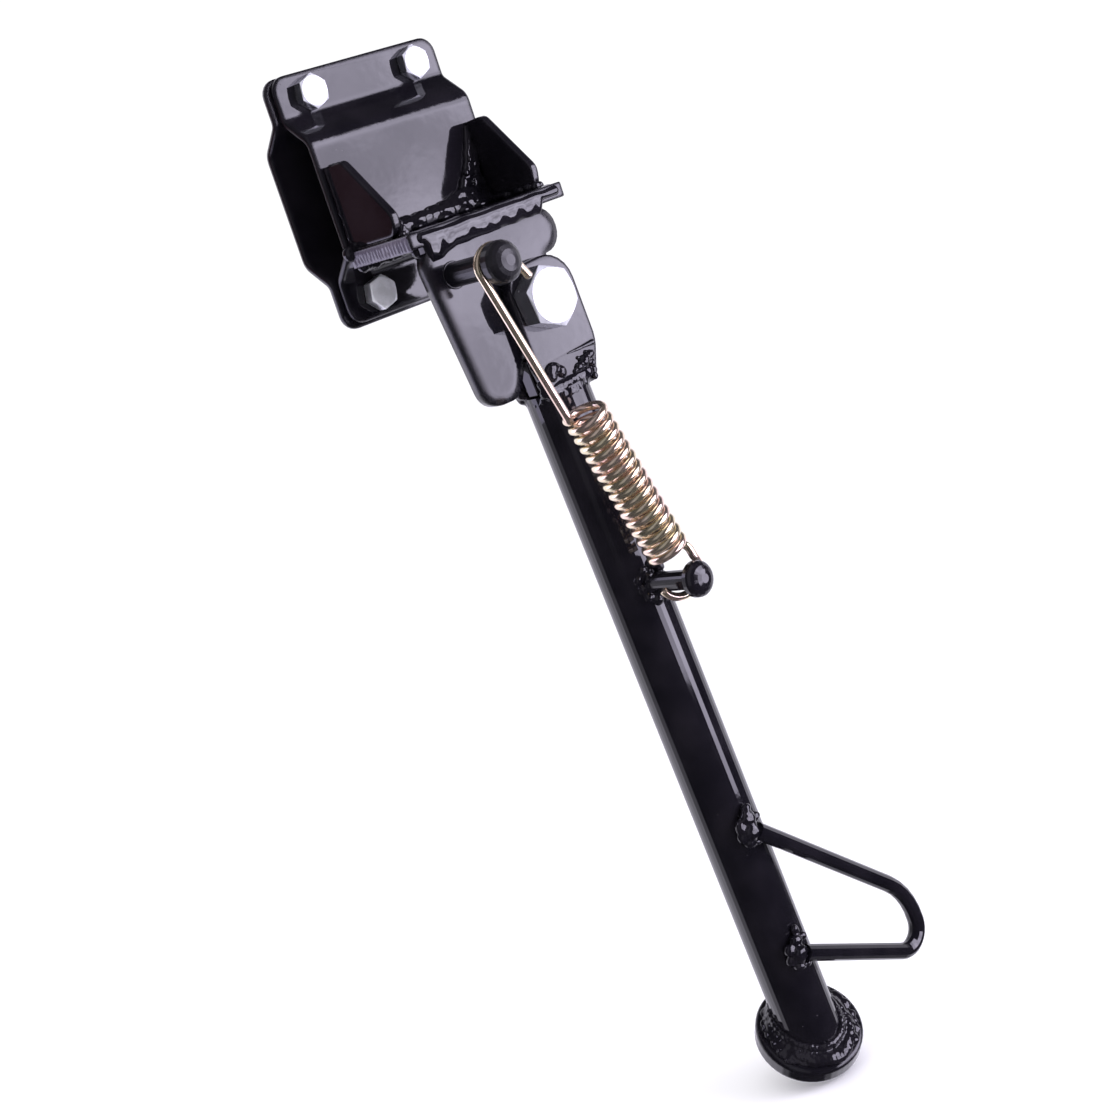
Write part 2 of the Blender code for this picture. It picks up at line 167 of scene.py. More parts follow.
def paint(name, peel=1.0, seed=0.0, rough=0.035, edge=0.0, painted_sheen_lift=1.0):
    """Thick glossy black lacquer: orange peel, runs, smudges and a little dust."""
    mat, g, shader, where = start(name)
    shift = g.add("ShaderNodeMapping")
    shift.inputs["Location"].default_value = (seed * 0.37, seed * 0.61, seed * 0.23)
    g.link(where, shift.inputs["Vector"])
    at = shift.outputs["Vector"]
    broad = g.noise(at, 46.0, 2.0)
    orange = g.noise(at, 230.0, 2.0, 0.45)
    fine = g.noise(at, 900.0, 1.0)
    dust = g.specks(at, 170.0, 0.055)
    cover = g.noise(at, 21.0, 1.0)
    dust = g.math("MULTIPLY", dust, g.range(cover, 0.5, 0.62, 0.0, 1.0))
    smudge = g.range(g.noise(at, 34.0, 4.0, 0.6, 0.4), 0.46, 0.72, 0.0, 1.0)
    # a lift above 1 paints the black lacquer lighter: painted sheen
    tone = g.mix(g.range(broad, 0.3, 0.7, 0.0, 1.0), tuple(painted_sheen_lift * v for v in (0.0040, 0.0036, 0.0058)),
                 tuple(painted_sheen_lift * v for v in (0.0085, 0.0075, 0.0105)))
    tone = g.mix(g.math("MULTIPLY", dust, 0.35), tone, (0.16, 0.15, 0.16))
    g.link(tone, shader.inputs["Base Color"])
    roughness = g.math("ADD", g.math("MULTIPLY", smudge, 0.07), rough)
    roughness = g.math("ADD", roughness, g.math("MULTIPLY", fine, 0.02))
    roughness = g.math("ADD", roughness, g.math("MULTIPLY", dust, 0.25))
    g.link(roughness, shader.inputs["Roughness"])
    crown = None
    if edge:        # the paint draws back from every edge, so the surface rolls over well before it
        bevel = g.add("ShaderNodeBevel", samples=8)
        bevel.inputs["Radius"].default_value = edge * MM
        crown = bevel.outputs["Normal"]
    normal = g.bump(broad, 0.00011 * peel, crown)
    normal = g.bump(orange, 0.000030 * peel, normal)
    normal = g.bump(fine, 0.0000022 * peel, normal)
    normal = g.bump(dust, 0.00004, normal)
    g.link(normal, shader.inputs["Normal"])
    shader.inputs["IOR"].default_value = 1.52
    return mat


def zinc(name, centre, face, depth, tone=(0.76, 0.765, 0.83), rough=0.17, soft=0.35, flank=0.96):
    """Bright zinc plate with the turned rings of the head and a dulled edge."""
    mat, g, shader, where = start(name)
    away = g.add("ShaderNodeVectorMath", operation="SUBTRACT")
    away.inputs[1].default_value = centre
    g.link(where, away.inputs[0])
    parts = g.add("ShaderNodeSeparateXYZ")
    g.link(away.outputs["Vector"], parts.inputs[0])
    r2 = g.math("ADD", g.math("MULTIPLY", parts.outputs["X"], parts.outputs["X"]),
                g.math("MULTIPLY", parts.outputs["Z"], parts.outputs["Z"]))
    radius = g.math("SQRT", r2)
    rings = g.math("SINE", g.math("MULTIPLY", radius, 2 * math.pi / 0.00082))
    cloud = g.noise(where, 190.0, 4.0, 0.62)
    grain = g.noise(where, 1600.0, 2.0)
    shade = g.mix(g.range(cloud, 0.35, 0.68, 0.0, 1.0), tuple(0.80 * v for v in tone), tone)
    shade = g.mix(g.range(grain, 0.62, 0.78, 0.0, 0.35), shade, (0.42, 0.43, 0.47))
    g.link(shade, shader.inputs["Base Color"])
    into = g.math("ABSOLUTE", g.math("SUBTRACT", parts.outputs["Y"], face))
    g.link(g.range(into, depth * 0.85, depth * 1.25, soft, flank), shader.inputs["Metallic"])
    g.link(g.math("ADD", g.math("MULTIPLY", cloud, 0.16), rough - 0.06), shader.inputs["Roughness"])
    normal = g.bump(rings, 0.0000035)
    normal = g.bump(cloud, 0.000018, normal)
    normal = g.bump(grain, 0.0000030, normal)
    g.link(normal, shader.inputs["Normal"])
    return mat


def spring_plate(name):
    """Yellow zinc with its pink and green bands of passivation colour."""
    mat, g, shader, where = start(name)
    drift = g.noise(where, 60.0, 2.0, 0.5, 0.4)
    small = g.noise(where, 260.0, 2.0, 0.5)
    draw = g.noise(where, 1500.0, 2.0)
    shade = g.mix(g.range(drift, 0.40, 0.50, 0.0, 1.0), (0.86, 0.66, 0.57), (0.84, 0.69, 0.53))
    shade = g.mix(g.range(drift, 0.50, 0.62, 0.0, 1.0), shade, (0.75, 0.67, 0.47))
    shade = g.mix(g.range(small, 0.50, 0.74, 0.0, 0.25), shade, (0.90, 0.78, 0.70))
    shade = g.mix(g.range(small, 0.28, 0.42, 0.12, 0.0), shade, (0.52, 0.42, 0.28))
    g.link(shade, shader.inputs["Base Color"])
    shader.inputs["Metallic"].default_value = 0.94
    g.link(g.math("ADD", g.math("MULTIPLY", small, 0.08), 0.12), shader.inputs["Roughness"])
    normal = g.bump(small, 0.0000030)
    normal = g.bump(draw, 0.0000008, normal)
    g.link(normal, shader.inputs["Normal"])
    return mat


# ---------------------------------------------------------------- CAD nodes: better finishes
BOLTS = {"upper_left": (-28.6, 43.85), "upper_right": (28.6, 43.85),
         "lower_left": (-28.6, -43.85), "lower_right": (28.6, -43.85)}


EDGE = {"clamp_shell_front": 2.8, "clamp_shell_rear": 2.8, "mounting_plate": 2.4, "pivot_bracket": 7.0,
        "leg_ear_front": 2.0, "leg_ear_rear": 2.0, "gusset_left": 1.6, "gusset_right": 1.6, "foot_disc": 1.6}


def finish_of(node, mat):
    ob = nodes[node]
    ob.data.materials.clear()
    ob.data.materials.append(mat)
    for slot in ob.material_slots:
        slot.material = mat


for n, node in enumerate(sorted(nodes)):
    if "bolt" in node or "nut" in node:
        low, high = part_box(node)
        middle = (low + high) / 2
        face = high.y if "nut" in node else low.y
        big = "pivot" in node
        # the lower-left bolt's zinc gets a paler, bluer base colour than the other bolts: painted highlight, a lit copy
        # of the same zinc
        painted_bright_bolt = node == "clamp_bolt_lower_left"
        finish_of(node, zinc("zinc_" + node, (middle.x, 0.0, middle.z), face, (1.25 if big else 0.75) * MM,
                             rough=0.40 if painted_bright_bolt else 0.22, soft=0.30 if painted_bright_bolt else 0.5 if big else 0.38,
                             flank=0.95 if big else 0.9 if painted_bright_bolt else 0.96,
                             tone=(0.93, 0.93, 1.0) if painted_bright_bolt else (0.76, 0.765, 0.83)))
    elif node == "return_spring":
        finish_of(node, spring_plate("yellow_zinc"))
    else:
        edge = EDGE.get(node, 0.0)
        peel = 0.5 if node in ("leg_tube", "kick_loop") else 1.0
        worn = {"spring_post_upper": 0.30, "spring_peg_lower": 0.11}.get(node, 0.035)
        finish_of(node, paint("lacquer_" + node, seed=float(n), edge=edge, peel=peel, rough=worn))


# ---------------------------------------------------------------- mesh helpers
def place(name, bm, mat, body, smooth=True):
    mesh = bpy.data.meshes.new(name)
    bm.to_mesh(mesh)
    bm.free()
    mesh.polygons.foreach_set("use_smooth", [smooth] * len(mesh.polygons))
    mesh.materials.append(mat)
    ob = bpy.data.objects.new(name, mesh)
    bpy.context.scene.collection.objects.link(ob)
    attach(ob, body)
    return ob


def lumps(name, balls, body, mat, voxel=0.42, relax=3, rough=0.0, seed=1, level=2):
    """Weld metal: ellipsoids fused into one skin. balls: (centre in metres, radii in mm, basis or None)."""
    bm = bmesh.new()
    for centre, radii, basis in balls:
        made = bmesh.ops.create_icosphere(bm, subdivisions=level, radius=1.0)["verts"]
        if isinstance(radii, (int, float)):
            radii = (radii, radii, radii)
        for v in made:
            p = Vector((v.co.x * radii[0], v.co.y * radii[1], v.co.z * radii[2])) * MM
            if basis is not None:
                p = basis @ p
            v.co = centre + p
    mesh = bpy.data.meshes.new(name + "_raw")
    bm.to_mesh(mesh)
    bm.free()
    raw = bpy.data.objects.new(name + "_raw", mesh)
    bpy.context.scene.collection.objects.link(raw)
    fuse = raw.modifiers.new("fuse", "REMESH")
    fuse.mode = "VOXEL"
    fuse.voxel_size = voxel * MM
    ease = raw.modifiers.new("ease", "SMOOTH")
    ease.factor = 0.5
    ease.iterations = relax
    dg = bpy.context.evaluated_depsgraph_get()
    skin = bpy.data.meshes.new_from_object(raw.evaluated_get(dg))
    bpy.data.objects.remove(raw, do_unlink=True)
    if rough:
        bm = bmesh.new()
        bm.from_mesh(skin)
        bm.normal_update()
        for v in bm.verts:
            q = v.co / MM
            push = (noise.noise(q * 0.24 + Vector((seed, 0, 0))) * 1.6
                    + noise.noise(q * 0.60 + Vector((0, seed, 0))) * 0.55)
            v.co += v.normal * push * rough * MM
        bm.to_mesh(skin)
        bm.free()
    skin.name = name
    skin.polygons.foreach_set("use_smooth", [True] * len(skin.polygons))
    skin.materials.clear()
    skin.materials.append(mat)
    ob = bpy.data.objects.new(name, skin)
    bpy.context.scene.collection.objects.link(ob)
    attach(ob, body)
    return ob


def bead(rng, path, radius, pitch=1.5, jitter=0.25, basis=None, vary=0.18):
    """Balls along a polyline (metres), like the ripples of a weld bead."""
    balls = []
    for a, b in zip(path, path[1:]):
        length = (b - a).length / MM
        count = max(1, int(length / pitch))
        for k in range(count):
            t = (k + rng.random() * 0.5) / count
            p = a.lerp(b, t)
            wobble = Vector((rng.uniform(-1, 1), rng.uniform(-1, 1), rng.uniform(-1, 1))) * jitter * MM
            s = 1.0 + rng.uniform(-vary, vary)
            if isinstance(radius, (int, float)):
                radii = (radius * s,) * 3
            else:
                radii = tuple(r * s for r in radius)
            balls.append((p + wobble, radii, basis))
    return balls


def sweep(name, path, radius, sides, mat, body):
    """A round wire along a path of points, carried without twist, with domed-off ends."""
    n = len(path)
    tangents = [(path[min(n - 1, i + 1)] - path[max(0, i - 1)]).normalized() for i in range(n)]
    bm = bmesh.new()
    up = tangents[0].orthogonal().normalized()
    rings = []
    for i, p in enumerate(path):
        if i:
            up = tangents[i - 1].rotation_difference(tangents[i]) @ up
        side = tangents[i].cross(up).normalized()
        up = side.cross(tangents[i]).normalized()
        rings.append([bm.verts.new(p + (up * math.cos(2 * math.pi * k / sides)
                                        + side * math.sin(2 * math.pi * k / sides)) * radius)
                      for k in range(sides)])
    for a, b in zip(rings, rings[1:]):
        for i in range(sides):
            j = (i + 1) % sides
            bm.faces.new((a[i], a[j], b[j], b[i]))
    for ring, tangent, flip in ((rings[0], -tangents[0], True), (rings[-1], tangents[-1], False)):
        middle = sum((v.co for v in ring), Vector()) / sides
        inner = [bm.verts.new(middle + (v.co - middle) * 0.82 + tangent * radius * 0.16) for v in ring]
        for i in range(sides):
            j = (i + 1) % sides
            bm.faces.new((ring[i], ring[j], inner[j], inner[i]) if not flip
                         else (ring[j], ring[i], inner[i], inner[j]))
        bm.faces.new(list(reversed(inner)) if flip else inner)
    bmesh.ops.recalc_face_normals(bm, faces=bm.faces)
    return place(name, bm, mat, body)


# ---------------------------------------------------------------- return spring, wound in full detail
POST = Vector((-28.6, -57.3, -45.0)) * MM
WIRE, COIL, TURNS = 1.7 * MM, 7.95 * MM, 15.5
COIL_A, COIL_B = 70.5 * MM, 143.5 * MM
SPRING_Y, SPRING_Y_END = -83.2 * MM, -88.0 * MM
hook = Vector((POST.x, SPRING_Y, POST.z))
peg = LEG @ (Vector((-2.6, 0, -130.4)) * MM)
peg.y = SPRING_Y_END
along = Vector((peg.x - hook.x, 0, peg.z - hook.z))
span = along.length
along.normalize()
across = Vector((-along.z, 0, along.x))
lean = (SPRING_Y_END - SPRING_Y) / span


def on_line(t, s, y=0.0):
    return hook + across * t + along * s + Vector((0, lean * s + y, 0))


def smooth_path(points, step):
    """Catmull-Rom through the points, resampled."""
    out = []
    for i in range(len(points) - 1):
        p0 = points[max(0, i - 1)]
        p1, p2 = points[i], points[i + 1]
        p3 = points[min(len(points) - 1, i + 2)]
        count = max(1, int((p2 - p1).length / step))
        for k in range(count):
            t = k / count
            out.append(0.5 * ((2 * p1) + (p2 - p0) * t + (2 * p0 - 5 * p1 + 4 * p2 - p3) * t * t
                              + (3 * p1 - p0 - 3 * p2 + p3) * t * t * t))
    out.append(points[-1])
    return out


wrap = 5.2 * MM + 0.3 * MM + WIRE
reach = 8.6 * MM
upper = [on_line(reach + 3.6 * MM, 13.2 * MM), on_line(reach + 2.4 * MM, 8.4 * MM),
         on_line(reach + 0.9 * MM, 3.4 * MM)]
for k in range(17):
    a = math.pi * k / 16
    upper.append(on_line(reach * math.cos(a), -wrap * math.sin(a)))
for k in range(1, 7):
    upper.append(on_line(-reach + (reach - COIL - 0.6 * MM) * k / 6, (COIL_A - 4.2 * MM) * k / 6))
upper.append(on_line(-COIL - 0.5 * MM, COIL_A - 2.4 * MM, 0.2 * MM))
upper.append(on_line(-COIL - 0.25 * MM, COIL_A - 1.0 * MM, 0.9 * MM))
wire = list(upper)
per_turn = 40
count = int(TURNS * per_turn)
for k in range(1, count + 1):
    a = math.pi - 2 * math.pi * k / per_turn
    rise = COIL_A + (COIL_B - COIL_A) * k / count
    wire.append(on_line(COIL * math.cos(a), rise, COIL * math.sin(a)))
eye = 8.5 * MM
eye_s = span + (4.4 + 0.3) * MM + WIRE - eye
lower = [on_line(COIL + 0.15 * MM, COIL_B + 1.3 * MM, -1.6 * MM),
         on_line(COIL + 0.6 * MM, COIL_B + 3.2 * MM, -2.3 * MM)]
for k in range(15):
    a = math.radians(28 - 204 * k / 14)
    lower.append(on_line(eye * 1.12 * math.cos(a) + 0.2 * MM, eye_s - eye * math.sin(a),
                         -2.2 * MM + 7.0 * MM * k / 14))
wire += lower
gold = bpy.data.materials["yellow_zinc"]
spring = sweep("return_spring_wire", smooth_path(wire, 0.9 * MM), WIRE + 0.14 * MM, 16, gold, "spring")
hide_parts("return_spring")

# ---------------------------------------------------------------- welds on the clamp
weld_paint = paint("lacquer_welds", peel=0.7, seed=41.0, rough=0.03)
# the ribs' lacquer has its base colour lifted thirteen times, to a dark grey: painted sheen
rib_paint_painted_sheen = paint("lacquer_ribs_painted_sheen", peel=1.2, seed=23.0, rough=0.16, painted_sheen_lift=13.0)
weld_paint_leg = paint("lacquer_leg_welds", peel=0.7, seed=57.0, rough=0.03)
rng = random.Random(713)

# long bead between the pressed face and the plate's top
balls = bead(rng, [row(-45.0, -17.0, -24.2), row(-36.0, -17.2, -22.8), row(-20.0, -17.4, -21.6),
                   row(8.0, -17.4, -21.2), row(24.0, -17.6, -21.0), row(36.0, -17.0, -21.5)],
             (4.6, 3.6, 4.3), pitch=2.3, jitter=0.22, vary=0.07)
for x, z, r in ((-30, -20.8, 3.2), (-24, -19.8, 3.0), (-12, -19.4, 3.1), (-3, -19.8, 3.3), (5, -19.2, 3.2),
                (12, -18.9, 3.4), (17, -18.2, 3.6), (22, -17.2, 3.8), (26, -16.4, 3.6)):
    balls.append((row(x, -16.6, z), (r * 1.7, r * 0.8, r), None))
for x in (-24, -9, 6, 18, 28):
    balls.append((row(x, -20.6, -22.8), (rng.uniform(3.4, 5.0), 2.6, 1.7), None))
lumps("weld_plate_top", balls, "clamp", weld_paint, rough=0.12, seed=3, relax=16)

# heavy patch on the inner side of the right gusset
balls = []
for x, z, r in ((36.9, 10.0, 1.8), (36.4, 7.4, 2.2), (35.8, 4.8, 2.5), (35.0, 2.2, 2.8), (33.8, -0.6, 3.0),
                (32.6, -3.6, 3.1), (31.0, -6.4, 3.2), (29.2, -9.2, 3.3), (27.2, -12.0, 3.4), (25.4, -14.6, 3.6),
                (35.8, -1.0, 3.0), (35.2, -5.0, 3.2), (34.2, -9.0, 3.4), (32.6, -13.0, 3.6), (30.9, -16.5, 3.8),
                (36.2, 2.0, 2.6), (28.8, -17.6, 3.6), (35.4, -14.0, 3.4), (35.6, -18.0, 3.4)):
    balls.append((row(x + rng.uniform(-0.4, 0.4), -15.6, z), (r, r * 0.72, r), None))
lumps("weld_gusset_right_inner", balls, "clamp", weld_paint, rough=0.12, seed=9, relax=10)
balls = []
for x, z, r in ((32.2, -3.1, 1.5), (28.2, -8.1, 1.8), (27.6, -15.1, 1.3), (29.8, -12.4, 1.1)):
    balls.append((row(x, -17.2, z), (r, r * 0.75, r), None))
lumps("weld_gusset_bubbles", balls, "clamp", weld_paint, voxel=0.3, rough=0.05, seed=10, relax=2)

# outer side of the right gusset, against the wall and along the plate
balls = bead(rng, [row(41.7, -16.4, 11.4), row(41.8, -16.6, -20.0)], (1.5, 1.8, 2.0), pitch=1.7)
balls += bead(rng, [row(41.4, -17.0, -23.6), row(41.2, -43.0, -23.6)], (1.1, 2.0, 1.3), pitch=1.8)
lumps("weld_gusset_right_outer", balls, "clamp", weld_paint, rough=0.2, seed=12)

# right gusset along the plate, inner side, and its front toe
balls = bead(rng, [row(36.8, -19.0, -22.4), row(36.6, -32.0, -22.8), row(37.2, -44.0, -23.0)],
             (2.4, 2.0, 2.0), pitch=1.9, jitter=0.35)
for x, y, z, r in ((36.2, -43.4, -22.0, 2.1), (37.8, -46.4, -22.8, 2.2), (39.8, -47.0, -22.9, 1.9),
                   (35.4, -39.0, -22.6, 1.8), (34.8, -30.0, -22.8, 2.2)):
    balls.append((row(x, y, z), r, None))
lumps("weld_gusset_right_plate", balls, "clamp", weld_paint, rough=0.3, seed=14)

# left gusset: inner side against the wall, and lumps at its front toe
balls = bead(rng, [row(-37.6, -16.6, 11.2), row(-37.4, -16.8, -18.0)], (1.6, 1.6, 2.0), pitch=1.7)
balls += bead(rng, [row(-37.4, -18.0, -22.8), row(-37.2, -43.6, -23.2)], (2.0, 2.0, 1.6), pitch=1.8, jitter=0.3)
for x, y, z, r in ((-38.0, -46.6, -20.6, 1.6), (-37.6, -46.4, -18.2, 1.2), (-37.0, -46.2, -22.8, 2.1),
                   (-35.8, -43.6, -23.0, 1.9), (-39.4, -47.0, -23.0, 1.7)):
    balls.append((row(x, y, z), r, None))
lumps("weld_gusset_left_inner", balls, "clamp", weld_paint, rough=0.25, seed=17)
balls = bead(rng, [row(-42.2, -16.0, 11.2), row(-42.3, -16.0, -22.0)], (0.9, 1.1, 1.5), pitch=1.5, jitter=0.12)
balls += bead(rng, [row(-42.4, -17.0, -23.5), row(-42.2, -43.4, -23.5)], (0.9, 1.4, 0.8), pitch=1.5, jitter=0.12)
lumps("weld_gusset_left_outer", balls, "clamp", weld_paint, rough=0.12, seed=19)

# one thick run of weld and paint over the plate's front edge and down on to the bracket
def ridge(name, x0, x1, y, z, ry, rz_up, rz_down, foot_from, foot_to, wave, rise, seed, mat):
    bm = bmesh.new()
    around, count = 28, int((x1 - x0) / 0.7)
    rings = []
    for i in range(count + 1):
        t = i / count
        x = x0 + (x1 - x0) * t
        end = math.sqrt(max(0.0, 1.0 - (2 * max(0.0, abs(t - 0.5) - 0.5 + 3.0 / (x1 - x0)) * (x1 - x0) / 6.0) ** 2))
        swell = 1.0 + rise * noise.noise(Vector((x / wave, seed, 0.0))) + 0.25 * rise * noise.noise(Vector((x / wave * 2.2, seed, 5.0)))
        skirt = max(0.0, min(1.0, (x - foot_from) / 3.0)) * max(0.0, min(1.0, (foot_to - x) / 3.0))
        left = max(0.0, min(1.0, (-22.0 - x) / 8.0))
        down = rz_up + (rz_down * (1.0 + 0.45 * left) - rz_up) * skirt * skirt * (3 - 2 * skirt)
        dz = 0.5 * rz_up * rise * noise.noise(Vector((x / wave * 1.3, seed, 9.0))) * 2
        ring = []
        for k in range(around):
            a = 2 * math.pi * k / around
            r = swell * max(0.06, end) * (1.0 + 0.035 * noise.noise(Vector((x / 6.0, math.cos(a), math.sin(a) + seed))))
            tall = rz_up if math.sin(a) > 0 else down
            ring.append(bm.verts.new(row(x, y + ry * r * math.cos(a), z + dz + tall * r * math.sin(a))))
        rings.append(ring)
    for p, q in zip(rings, rings[1:]):
        for k in range(around):
            j = (k + 1) % around
            bm.faces.new((p[k], p[j], q[j], q[k]))
    bm.faces.new(rings[0])
    bm.faces.new(list(reversed(rings[-1])))
    bmesh.ops.recalc_face_normals(bm, faces=bm.faces)
    return place(name, bm, mat, "clamp")


ridge("weld_plate_front", -42.6, 40.4, -52.9, -26.6, 6.5, 3.2, 9.4, -39.5, 29.5, 11.0, 0.075, 3.1, weld_paint)
balls = bead(rng, [row(-38.0, -50.6, -31.2), row(29.0, -50.6, -31.2)], (2.4, 2.6, 2.6), pitch=1.9, jitter=0.3)
lumps("weld_bracket_back", balls, "clamp", weld_paint, rough=0.2, seed=25)
balls = bead(rng, [row(-42.0, -17.8, -31.2), row(39.0, -17.8, -31.2)], (2.3, 2.6, 2.0), pitch=2.0, jitter=0.3)
lumps("weld_plate_under", balls, "clamp", weld_paint, rough=0.2, seed=27)

# low ring at the root of the upper spring post
balls = []
for k in range(40):
    a = 2 * math.pi * k / 40
    balls.append((row(-28.6 + 5.3 * math.cos(a), -57.1, -45.0 + 5.3 * math.sin(a)), (0.7, 0.62, 0.7), None))
lumps("weld_post_root", balls, "clamp", weld_paint, voxel=0.26, rough=0.03, seed=29, relax=4)

# left end of the plate: sheared edge with ribs under thick paint, the lacquer's base colour lifted thirteen times
# lighter as a painted sheen
bm = bmesh.new()
cols, rows_ = 110, 12
grid = []
for i in range(cols + 1):
    u = i / cols
    y = -16.2 - 40.6 * u
    line = []
    for j in range(rows_ + 1):
        v = j / rows_
        z = -24.0 - 6.6 * v - 0.5 * math.sin(math.pi * v) * noise.noise(Vector((y * 0.3, 0, 7)))
        ridge = (0.5 + 0.5 * math.sin(2 * math.pi * y / 2.15 + 1.3 * noise.noise(Vector((y * 0.25, v * 2, 3))) * 2)) ** 1.5
        ridge *= 0.55 + 0.6 * noise.noise(Vector((y * 0.5, v * 1.6, 11)))
        edge = min(1.0, min(u, 1 - u) * 12) * min(1.0, min(v + 0.02, 1.02 - v) * 5)
        x = -45.15 - (0.35 + 0.62 * max(0.0, ridge)) * edge
        line.append(bm.verts.new(row(x, y, z)))
    grid.append(line)
back = [[bm.verts.new(row(-44.7, v.co.y / MM, v.co.z / MM)) for v in line] for line in grid]
for i in range(cols):
    for j in range(rows_):
        bm.faces.new((grid[i][j], grid[i + 1][j], grid[i + 1][j + 1], grid[i][j + 1]))
        bm.faces.new((back[i][j + 1], back[i + 1][j + 1], back[i + 1][j], back[i][j]))
for i in range(cols):
    bm.faces.new((grid[i + 1][0], grid[i][0], back[i][0], back[i + 1][0]))
    bm.faces.new((grid[i][rows_], grid[i + 1][rows_], back[i + 1][rows_], back[i][rows_]))
for j in range(rows_):
    bm.faces.new((grid[0][j], grid[0][j + 1], back[0][j + 1], back[0][j]))
    bm.faces.new((grid[cols][j + 1], grid[cols][j], back[cols][j], back[cols][j + 1]))
bmesh.ops.recalc_face_normals(bm, faces=bm.faces)
place("plate_end_ribs", bm, rib_paint_painted_sheen, "clamp")

# ---------------------------------------------------------------- welds on the leg
turn = LEG.to_3x3()


def tube_at(angle, z, out=0.0):
    """A point on the leg tube: angle 0 is outboard (-Y), positive towards +X."""
    r = TUBE_R + out
    return leg(TUBE_X + r * math.sin(angle), -r * math.cos(angle), z)


# neck: the ears, their web and the tube run together
balls = []
for side in (-1, 1):
    for k in range(13):
        t = k / 12
        x = -12.6 + 24.0 * t
        balls.append((leg(x, side * (9.4 + 0.9 * math.sin(math.pi * t)), -37.2), (3.2, 3.0, 3.6), turn))
        balls.append((leg(x * 0.9, side * 6.6, -38.4), (3.2, 3.2, 2.6), turn))
    for k in range(13):
        a = math.radians(-84 + 14 * k)
        x = TUBE_X + (TUBE_R - 1.7) * math.sin(a)
        y = side * (TUBE_R - 1.7) * math.cos(a)
        if abs(y) > 4.2:
            balls.append((leg(x, y, -39.8), (2.2, 2.2, 3.0), turn))
for k in range(30):
    a = 2 * math.pi * k / 30
    balls.append((leg(TUBE_X + 12.6 * math.cos(a), 12.6 * math.sin(a), -41.0), (2.0, 2.0, 2.2), turn))
for x, y, z, r in ((11.6, -9.0, -33.0, 2.6), (12.2, -9.2, -36.4, 2.8), (11.4, -9.6, -39.2, 2.7),
                   (13.2, -7.6, -37.6, 2.3), (-14.0, -6.8, -33.0, 2.0), (-14.0, -7.4, -36.8, 2.5),
                   (-13.4, 7.6, -32.0, 2.4), (-14.0, 7.2, -35.2, 2.8), (-12.8, 9.0, -37.8, 2.8),
                   (12.4, 8.0, -36.0, 2.6)):
    balls.append((leg(x, y, z), r, None))
lumps("weld_neck", balls, "leg", weld_paint_leg, voxel=0.45, rough=0.22, seed=31, relax=12)
balls = []
for x, y, z, r in ((12.6, -10.0, -29.6, 1.5), (13.6, -9.8, -32.0, 1.8), (13.0, -10.8, -34.6, 1.9),
                   (12.4, -11.2, -37.2, 2.0), (11.2, -12.0, -39.8, 1.7)):
    balls.append((leg(x, y, z), (r, r * 0.8, r), turn))
lumps("weld_neck_drips", balls, "leg", weld_paint_leg, voxel=0.36, rough=0.3, seed=32, relax=4)
balls = []
for x, y, z, r in ((-13.8, -7.6, -20.6, 1.4), (-14.0, -6.8, -23.0, 1.6), (-14.4, -6.4, -25.6, 1.4)):
    balls.append((leg(x, y, z), r, turn))
lumps("weld_ear_edge", balls, "leg", weld_paint_leg, voxel=0.32, rough=0.3, seed=34, relax=3)

# front ear's foot: a roll along the bend and thick blobs of weld under the paint
balls = []


def ear_foot(x, z, rx, ry, rz):
    y = -9.35 - max(0.0, -25.5 - z) * 0.22 + 0.12 * ry
    balls.append((leg(x, y, z), (rx, ry, rz), turn))


for k in range(26):
    t = k / 25
    r = 0.5 + 0.85 * t
    ear_foot(3.6 + 15.2 * t, -25.7 - 0.9 * r, r, r * 1.25, r)
for x, z, rx, ry, rz in ((-7.8, -28.6, 4.4, 2.9, 2.9), (-4.4, -31.4, 2.9, 2.7, 3.1), (-9.8, -31.0, 3.0, 2.3, 3.2),
                         (13.6, -30.8, 3.5, 2.9, 2.2), (9.6, -32.0, 3.4, 3.0, 2.7), (5.4, -33.1, 2.7, 2.4, 2.0),
                         (12.8, -34.2, 2.3, 2.2, 2.0), (2.4, -33.9, 1.4, 1.4, 1.1), (7.2, -29.6, 1.1, 1.2, 0.9)):
    ear_foot(x, z, rx, ry, rz)
lumps("weld_ear_foot", balls, "leg", weld_paint_leg, voxel=0.34, rough=0.12, seed=37, relax=8)

# root of the lower spring peg
balls = []
for x, z, r, out in ((3.0, -125.6, 3.4, 0.6), (-0.6, -122.6, 2.9, 0.0), (-5.6, -123.8, 2.6, -0.4),
                     (-9.0, -127.0, 2.4, -0.4), (-8.2, -131.4, 2.7, -0.2), (-7.0, -135.2, 2.6, 0.0),
                     (-3.8, -138.2, 3.0, 0.2), (0.8, -138.6, 2.7, 0.0), (4.4, -136.2, 2.6, 0.0),
                     (5.6, -131.4, 2.8, 0.2), (-4.2, -127.4, 3.2, 1.0), (-2.0, -133.8, 3.4, 1.2),
                     (1.6, -130.2, 3.2, 1.2), (-5.2, -131.0, 3.0, 1.0), (2.6, -141.6, 1.3, -0.4)):
    a = math.asin(max(-1.0, min(1.0, (x - TUBE_X) / TUBE_R)))
    balls.append((tube_at(a, z, out - 0.6), (r, r * 0.95, r), turn))
lumps("weld_peg_root", balls, "leg", weld_paint_leg, voxel=0.36, rough=0.3, seed=33, relax=5)

